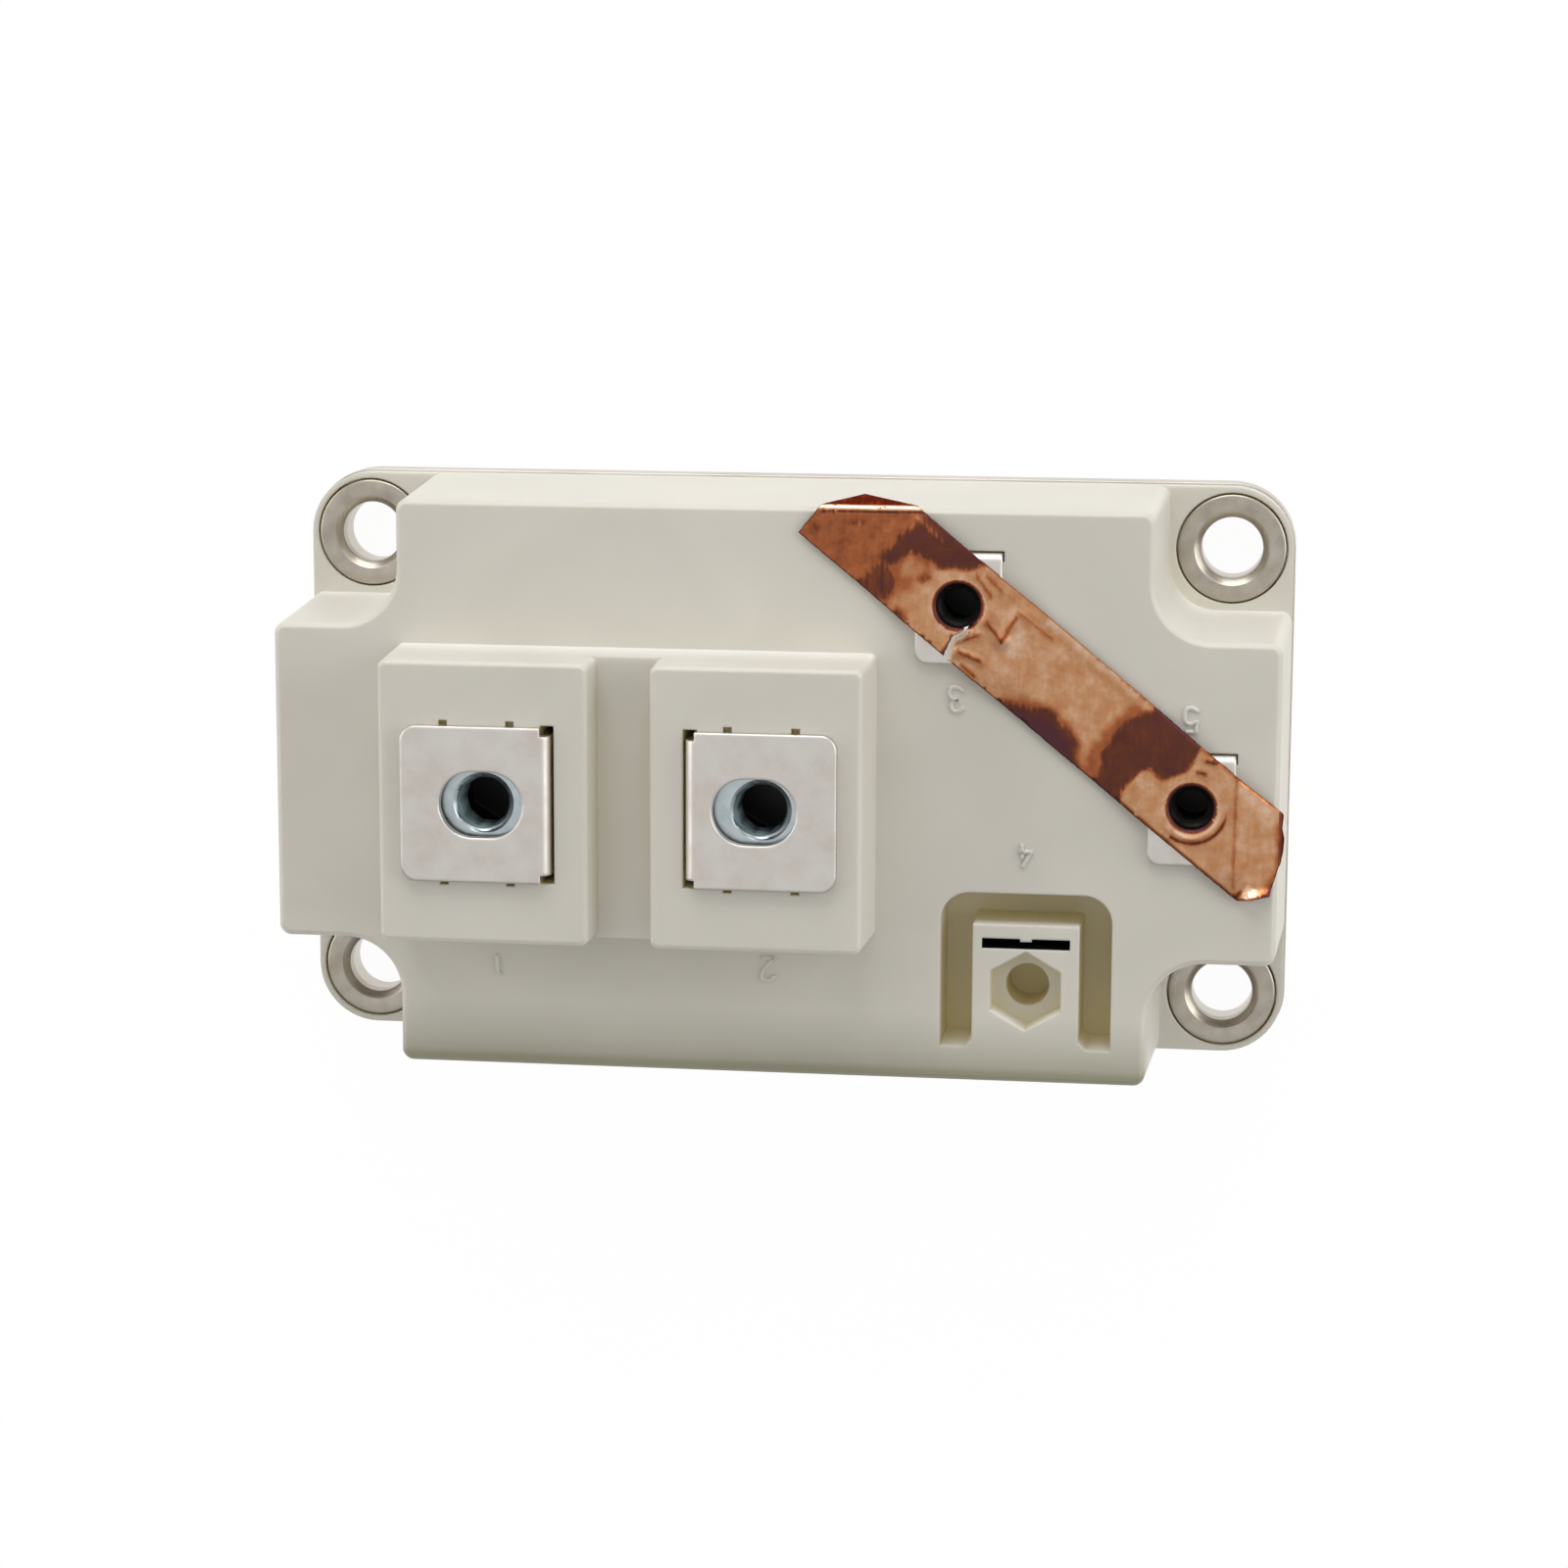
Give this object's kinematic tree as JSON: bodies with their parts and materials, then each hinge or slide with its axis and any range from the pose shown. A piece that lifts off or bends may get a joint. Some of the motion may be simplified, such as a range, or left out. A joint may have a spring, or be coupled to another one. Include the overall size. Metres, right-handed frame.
{
  "type": "igbt module",
  "caption": "Moulded power semiconductor module with a metal base, screw terminals on raised blocks, corner mounting lugs and a worn copper shorting strip.",
  "frame": {"origin": "middle of the base plate's underside, which rests on the heat sink", "axes": "+X along the long side towards auxiliary terminal 5, +Y towards auxiliary terminal 3, +Z away from the heat sink"},
  "size_m": [0.1064, 0.0614, 0.0365],
  "materials": {
    "case_plastic": "moulded, fine matt",
    "nickel_plated_copper": "nickel plated, satin",
    "zinc_plated_steel": "bright zinc plated",
    "sleeve_steel": "plated, satin",
    "bare_copper": "bare copper, tarnished",
    "silicon": "metallised chip",
    "bond_aluminium": "drawn wire",
    "seal_silicone": "cured bead",
    "clear_gel": "soft clear gel",
    "tin_solder": "reflowed solder",
    "alumina": "fired white ceramic"
  },
  "bodies": {
    "root": {"adhesive_seal": "seal_silicone", "aux_terminal_3": "nickel_plated_copper", "aux_terminal_5": "nickel_plated_copper", "base_plate": "nickel_plated_copper", "bond_wires": "bond_aluminium", "bushing_1": "sleeve_steel", "bushing_2": "sleeve_steel", "bushing_3": "sleeve_steel", "bushing_4": "sleeve_steel", "control_leads": "bare_copper", "diode_chips": "silicon", "housing": "case_plastic", "igbt_chips": "silicon", "m4_nuts": "zinc_plated_steel", "m6_nuts": "zinc_plated_steel", "main_terminal_1": "nickel_plated_copper", "main_terminal_2": "nickel_plated_copper", "shorting_strip": "bare_copper", "silicone_gel": "clear_gel", "substrate_back_left": "bare_copper", "substrate_back_right": "bare_copper", "substrate_ceramic_left": "alumina", "substrate_ceramic_right": "alumina", "substrate_circuit_left": "bare_copper", "substrate_circuit_right": "bare_copper", "substrate_solder_left": "tin_solder", "substrate_solder_right": "tin_solder"}
  },
  "joints": []
}
